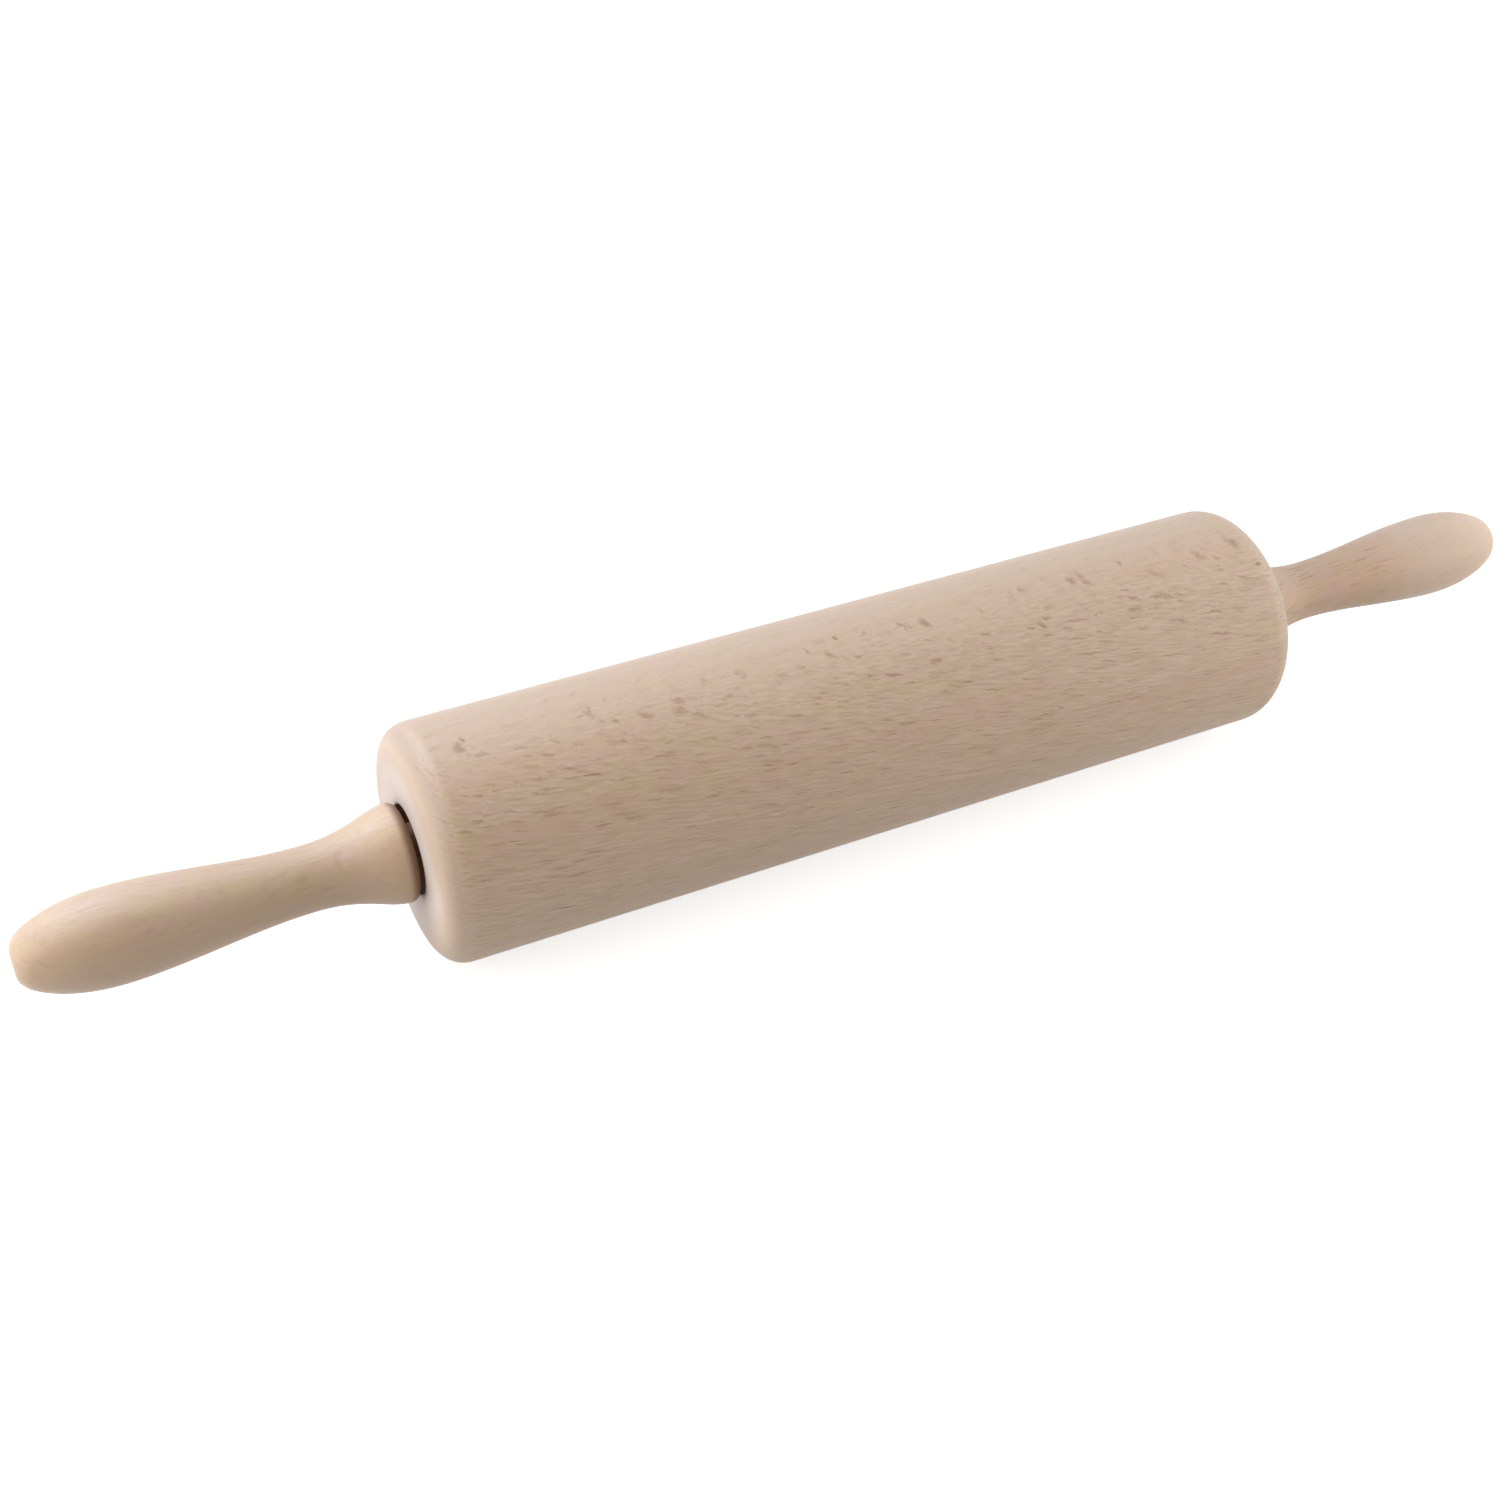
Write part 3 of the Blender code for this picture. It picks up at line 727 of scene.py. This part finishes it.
class PINSHOP_OT_sleeves(bpy.types.Operator):
    """Turn the two beech spacer sleeves between the handles and the bearings"""

    bl_idname = "pinshop.turn_sleeves"
    bl_label = "Turn the spacer sleeves"

    def execute(self, context):
        sizes = context.scene.pin_axle
        bearing = context.scene.pin_bearing
        finish = context.scene.pin_finish
        near, far = sizes.sleeve_near, sizes.sleeve_far
        corners = [(near, bearing.bore_radius), (near, bearing.inner_shoulder),
                   (far, bearing.inner_shoulder), (far, bearing.bore_radius)]
        # The sleeves are painted in the warm and deep browns of the shaded gap by the handle: painted shade
        wood = beech("oiled beech, spacer sleeves", finish, finish.warm_gap_shade, finish.deep_gap_shade,
                     ray_angle=70, slope=0.02, shift=(40.0, 70.0, -35.0), ray_strength=0.5)
        for side, sign in SIDES:
            bm = turned(corners, SMALL_STEPS)
            soften(bm, corners, 0.15 * MM, 2)
            set_on_side(bm, sign, bearing.place)
            put_in_place(f"{side}_spacer_sleeve", "turned", bm, wood)
        return {"FINISHED"}


def groove_points(sizes, outer, steps=12):
    """Points of a race's ball groove, from one shoulder to the other."""
    shoulder = sizes.outer_shoulder if outer else sizes.inner_shoulder
    rise = abs(shoulder - sizes.pitch_radius)
    half_angle = math.acos(rise / sizes.groove_radius)
    sign = 1.0 if outer else -1.0
    angles = [half_angle * (2 * i / steps - 1) for i in range(steps + 1)]
    return [(sizes.groove_radius * math.sin(a), sizes.pitch_radius + sign * sizes.groove_radius * math.cos(a))
            for a in angles]


class PINSHOP_OT_races(bpy.types.Operator):
    """Grind the inner and outer races of both bearings, each with its ball groove"""

    bl_idname = "pinshop.grind_races"
    bl_label = "Grind the races"

    def execute(self, context):
        sizes = context.scene.pin_bearing
        wide = sizes.half_width
        steel = shared(ground_steel, "ground bearing steel", context.scene.pin_finish)
        inner_corners = [(wide, sizes.inner_shoulder), (wide, sizes.bore_radius),
                         (-wide, sizes.bore_radius), (-wide, sizes.inner_shoulder)]
        outer_corners = [(-wide, sizes.outside_radius), (wide, sizes.outside_radius)]
        half = [(sizes.seal_ledge, sizes.outer_shoulder), (sizes.seal_ledge, sizes.seal_seat),
                (wide, sizes.seal_seat)]
        outer = outer_corners + half[::-1] + groove_points(sizes, True)[::-1] + [(-x, r) for x, r in half]
        inner = inner_corners + groove_points(sizes, False)
        for side, sign in SIDES:
            bm = turned(inner, SMALL_STEPS)
            soften(bm, inner_corners, 0.2 * MM, 3)
            set_on_side(bm, sign, sizes.place)
            put_in_place(f"{side}_inner_race", "ground", bm, steel)
            bm = turned(outer, SMALL_STEPS)
            soften(bm, outer_corners, 0.25 * MM, 3)
            set_on_side(bm, sign, sizes.place)
            put_in_place(f"{side}_outer_race", "ground", bm, steel)
        return {"FINISHED"}


class PINSHOP_OT_cages(bpy.types.Operator):
    """Mould the two nylon ball cages, each a crown with one pocket for each ball"""

    bl_idname = "pinshop.mould_cages"
    bl_label = "Mould the ball cages"

    def execute(self, context):
        sizes = context.scene.pin_bearing
        finish = context.scene.pin_finish
        nylon = shared(moulded, "moulded ivory nylon", finish.nylon, 0.90, 0.42, 0.2 * MM, 0.01 * MM)
        inner = sizes.inner_shoulder + sizes.cage_room
        outer = sizes.outer_shoulder - sizes.cage_room
        corners = [(-sizes.cage_back, inner), (-sizes.cage_back, outer), (sizes.cage_grip, outer),
                   (sizes.cage_grip, inner)]
        for side, sign in SIDES:
            ring = turned(corners, SMALL_STEPS)
            soften(ring, corners[:2], 0.15 * MM, 2)
            pockets = bmesh.new()
            for centre in ball_centres(sizes):
                bmesh.ops.create_uvsphere(pockets, u_segments=40, v_segments=24, radius=sizes.pocket_radius,
                                          matrix=Matrix.Translation(centre))
            bm = cut_away(ring, pockets)
            set_on_side(bm, sign, sizes.place)
            put_in_place(f"{side}_ball_cage", "moulded", bm, nylon)
        return {"FINISHED"}


def ball_centres(sizes):
    """Centres of the balls round the pitch circle, in the bearing's own middle plane."""
    angles = [2 * math.pi * i / sizes.ball_count for i in range(sizes.ball_count)]
    return [Vector((0.0, sizes.pitch_radius * math.sin(a), sizes.pitch_radius * math.cos(a))) for a in angles]


def cut_away(body, tool):
    """Cut one mesh out of another and return what is left."""
    objects = []
    for bm, name in ((body, "cut body"), (tool, "cut tool")):
        mesh = bpy.data.meshes.new(name)
        bm.to_mesh(mesh)
        bm.free()
        objects.append(bpy.data.objects.new(name, mesh))
        bpy.context.scene.collection.objects.link(objects[-1])
    cut = objects[0].modifiers.new("cut", "BOOLEAN")
    cut.operation = "DIFFERENCE"
    cut.solver = "EXACT"
    cut.object = objects[1]
    result = bmesh.new()
    result.from_object(objects[0], bpy.context.evaluated_depsgraph_get())
    for obj in objects:
        mesh = obj.data
        bpy.data.objects.remove(obj, do_unlink=True)
        bpy.data.meshes.remove(mesh)
    bmesh.ops.remove_doubles(result, verts=result.verts, dist=1e-7)
    bmesh.ops.recalc_face_normals(result, faces=result.faces)
    return result


class PINSHOP_OT_balls(bpy.types.Operator):
    """Grind the steel balls of both bearings"""

    bl_idname = "pinshop.grind_balls"
    bl_label = "Grind the balls"

    def execute(self, context):
        sizes = context.scene.pin_bearing
        steel = shared(ground_steel, "ground bearing steel", context.scene.pin_finish)
        for side, sign in SIDES:
            for number, centre in enumerate(ball_centres(sizes), start=1):
                bm = bmesh.new()
                bmesh.ops.create_icosphere(bm, subdivisions=4, radius=sizes.ball_radius,
                                           matrix=Matrix.Translation(centre))
                set_on_side(bm, sign, sizes.place)
                put_in_place(f"{side}_ball_{number}", "ground", bm, steel)
        return {"FINISHED"}


class PINSHOP_OT_seals(bpy.types.Operator):
    """Mould the four rubber seals, which are pressed into the outer races"""

    bl_idname = "pinshop.mould_seals"
    bl_label = "Mould the seals"

    def execute(self, context):
        sizes = context.scene.pin_bearing
        finish = context.scene.pin_finish
        rubber = shared(moulded, "moulded black rubber", finish.rubber, 0.75, 0.55, 0.15 * MM, 0.015 * MM)
        near, far = sizes.seal_inside, sizes.seal_inside + sizes.seal_thickness
        hole = sizes.inner_shoulder + sizes.running_gap
        rim = sizes.seal_seat - sizes.running_gap
        # A shallow step in the outer face leaves a raised rim and a thin lip
        lip, inset, step = hole + 0.7 * MM, rim - 0.6 * MM, 0.12 * MM
        profile = [(near, hole), (near, rim), (far, rim), (far, inset), (far - step, inset - step),
                   (far - step, lip + step), (far, lip), (far, hole)]
        rounded = [(near, hole), (far, hole), (far, rim), (near, rim)]
        for side, sign in SIDES:
            for where, facing in (("outer", 1.0), ("inner", -1.0)):
                bm = turned(profile, SMALL_STEPS)
                soften(bm, rounded, 0.08 * MM, 2)
                set_on_side(bm, sign, sizes.place, facing)
                put_in_place(f"{side}_{where}_seal", "moulded", bm, rubber)
        return {"FINISHED"}


# Studio

# Soft boxes: the way round from the back towards the right and the height in degrees, the distance and
# the width in metres, the watts, and the tint, which is slightly cool behind
LAMPS = (
    ("soft box behind", -34.0, 45.0, 0.8, 0.5, 6.2, "#DAE8FF"),
    ("soft box left", -95.0, 20.0, 1.4, 0.9, 11.2, "#FFFCF7"),
    ("soft box left high", -90.0, 50.0, 0.7, 0.45, 1.10, "#FFFFFF"),
    ("soft box right", 90.0, 20.0, 0.6, 0.45, 1.3, "#F6FAFF"),
    ("soft box front right", 125.0, 12.0, 0.6, 0.45, 1.85, "#FFFCF8"),
)

# The floor's own glow round the pin, and the distances in metres between which it rises to plain white
FLOOR_GLOW = 0.75
FLOOR_FADE = (0.45, 1.3)
# Strength of the light from all round
SURROUND_LIGHT = 0.1

# Camera: its place in metres, how far it looks down and to the right in degrees, and its lens and the
# width of its frame in millimetres
CAMERA_PLACE = (-0.21731, -0.37960, 0.30716)
CAMERA_DOWN = 35.942
CAMERA_RIGHT = 26.321
CAMERA_LENS = 49.487
CAMERA_FRAME = 36.0


def softbox(name, at, width, energy, tint):
    """Hang one square soft lamp, pointed at the pin."""
    data = bpy.data.lights.new(name, "AREA")
    data.shape = "SQUARE"
    data.size = width
    data.energy = energy
    data.color = linear(tint)[:3]
    lamp = bpy.data.objects.new(name, data)
    lamp.location = at
    lamp.rotation_euler = (-Vector(at)).to_track_quat("-Z", "Y").to_euler()
    bpy.context.scene.collection.objects.link(lamp)


def looked_at(tree):
    """Return 1 for the camera, for reflections and for views through glass, and 0 for all other light."""
    path = add_node(tree, "ShaderNodeLightPath")
    seen = path.outputs["Is Camera Ray"]
    for ray in ("Is Glossy Ray", "Is Transmission Ray"):
        seen = add_node(tree, "ShaderNodeMath", {0: seen, 1: path.outputs[ray]}, operation="MAXIMUM")
    return seen


def floor_material(stage):
    """Matt white floor that looks white to the camera and in reflections, and keeps the pin's soft shadow."""
    material, tree, place = new_material("matt white studio floor")
    mottle = add_node(tree, "ShaderNodeTexNoise", {"Vector": place, "Scale": 4.0})
    shade = add_node(tree, "ShaderNodeMix", {
        0: mottle, 6: (*stage.floor_colour, 1.0), 7: (*[c * 0.98 for c in stage.floor_colour], 1.0)},
        data_type="RGBA")
    matt = add_node(tree, "ShaderNodeBsdfDiffuse", {"Color": shade.outputs[2]})
    # Away from the lamps the floor fades to the plain white behind it
    away = add_node(tree, "ShaderNodeVectorMath", {0: place}, operation="LENGTH")
    level = add_node(tree, "ShaderNodeMapRange", {
        "Value": away.outputs["Value"], "From Min": FLOOR_FADE[0], "From Max": FLOOR_FADE[1],
        "To Min": FLOOR_GLOW})
    glow = add_node(tree, "ShaderNodeEmission", {"Color": (1, 1, 1, 1), "Strength": level})
    dark = add_node(tree, "ShaderNodeEmission", {"Color": (0, 0, 0, 1), "Strength": 0.0})
    lift = add_node(tree, "ShaderNodeMixShader", {0: looked_at(tree), 1: dark, 2: glow})
    both = add_node(tree, "ShaderNodeAddShader", {0: matt, 1: lift})
    add_node(tree, "ShaderNodeOutputMaterial", {"Surface": both})
    return material


def studio_world():
    """Even grey surround for the light, seen as plain white by the camera and in reflections."""
    world = bpy.data.worlds.new("studio surround")
    world.use_nodes = True
    tree = world.node_tree
    tree.nodes.clear()
    fill = add_node(tree, "ShaderNodeBackground", {"Color": (1, 1, 1, 1), "Strength": SURROUND_LIGHT})
    white = add_node(tree, "ShaderNodeBackground", {"Color": (1, 1, 1, 1), "Strength": 1.0})
    both = add_node(tree, "ShaderNodeMixShader", {0: looked_at(tree), 1: fill, 2: white})
    add_node(tree, "ShaderNodeOutputWorld", {"Surface": both})
    bpy.context.scene.world = world


class PINSHOP_OT_stage(bpy.types.Operator):
    """Lay the floor, hang the lamps and set up the camera"""

    bl_idname = "pinshop.set_stage"
    bl_label = "Set the stage"

    def execute(self, context):
        stage = context.scene.pin_stage
        bm = bmesh.new()
        bmesh.ops.create_grid(bm, x_segments=1, y_segments=1, size=stage.floor_size / 2,
                              matrix=Matrix.Translation((0, 0, CAD_BOX[0][2])))
        mesh = bpy.data.meshes.new("studio_floor")
        bm.to_mesh(mesh)
        bm.free()
        mesh.materials.append(floor_material(stage))
        floor = bpy.data.objects.new("studio_floor", mesh)
        context.scene.collection.objects.link(floor)
        studio_world()
        for name, azimuth, height, distance, width, watts, tint in LAMPS:
            turn = Euler((math.radians(height), 0.0, -math.radians(azimuth))).to_matrix()
            softbox(name, turn @ Vector((0.0, distance, 0.0)), width, watts * stage.lamp_level, tint)

        data = bpy.data.cameras.new("camera")
        data.sensor_width = CAMERA_FRAME
        data.lens = CAMERA_LENS
        data.clip_start = 0.01
        data.clip_end = 50.0
        camera = bpy.data.objects.new("camera", data)
        camera.location = CAMERA_PLACE
        camera.rotation_euler = (math.radians(90 - CAMERA_DOWN), 0.0, math.radians(-CAMERA_RIGHT))
        context.scene.collection.objects.link(camera)
        context.scene.camera = camera
        context.scene.view_settings.view_transform = "Standard"
        return {"FINISHED"}


class PINSHOP_PT_panel(bpy.types.Panel):
    """Steps of the rolling pin, in the order in which they are made"""

    bl_idname = "PINSHOP_PT_panel"
    bl_label = "Rolling pin"
    bl_space_type = "VIEW_3D"
    bl_region_type = "UI"
    bl_category = "Rolling pin"

    def draw(self, context):
        for label, name, _, steps in PANEL_ROWS:
            box = self.layout.box()
            box.label(text=label)
            settings = getattr(context.scene, name)
            for key in settings.__annotations__:
                box.prop(settings, key)
            for step in steps:
                box.operator(step.bl_idname)


# Each box of the panel: its label, its settings' name on the scene, their group, and its steps
PANEL_ROWS = (
    ("Barrel", "pin_barrel", PINSHOP_PG_barrel, (PINSHOP_OT_barrel,)),
    ("Handles", "pin_handle", PINSHOP_PG_handle, (PINSHOP_OT_handles,)),
    ("Axle and sleeves", "pin_axle", PINSHOP_PG_axle, (PINSHOP_OT_axle, PINSHOP_OT_sleeves)),
    ("Bearings", "pin_bearing", PINSHOP_PG_bearing,
     (PINSHOP_OT_races, PINSHOP_OT_cages, PINSHOP_OT_balls, PINSHOP_OT_seals)),
    ("Colours", "pin_finish", PINSHOP_PG_finish, ()),
    ("Stage", "pin_stage", PINSHOP_PG_stage, (PINSHOP_OT_stage,)),
)


def register():
    """Register the settings, the steps and the panel."""
    for _, name, group, steps in PANEL_ROWS:
        for item in (group, *steps):
            bpy.utils.register_class(item)
        setattr(bpy.types.Scene, name, PointerProperty(type=group))
    bpy.utils.register_class(PINSHOP_PT_panel)


def unregister():
    """Take the settings, the steps and the panel out again."""
    bpy.utils.unregister_class(PINSHOP_PT_panel)
    for _, name, group, steps in reversed(PANEL_ROWS):
        delattr(bpy.types.Scene, name)
        for item in (*steps, group):
            bpy.utils.unregister_class(item)


def main():
    """Make the pin and its studio."""
    register()
    bpy.ops.pinshop.turn_barrel()
    bpy.ops.pinshop.turn_handles()
    bpy.ops.pinshop.cut_axle()
    bpy.ops.pinshop.turn_sleeves()
    bpy.ops.pinshop.grind_races()
    bpy.ops.pinshop.mould_cages()
    bpy.ops.pinshop.grind_balls()
    bpy.ops.pinshop.mould_seals()
    bpy.ops.pinshop.set_stage()


if __name__ == "__main__":
    main()
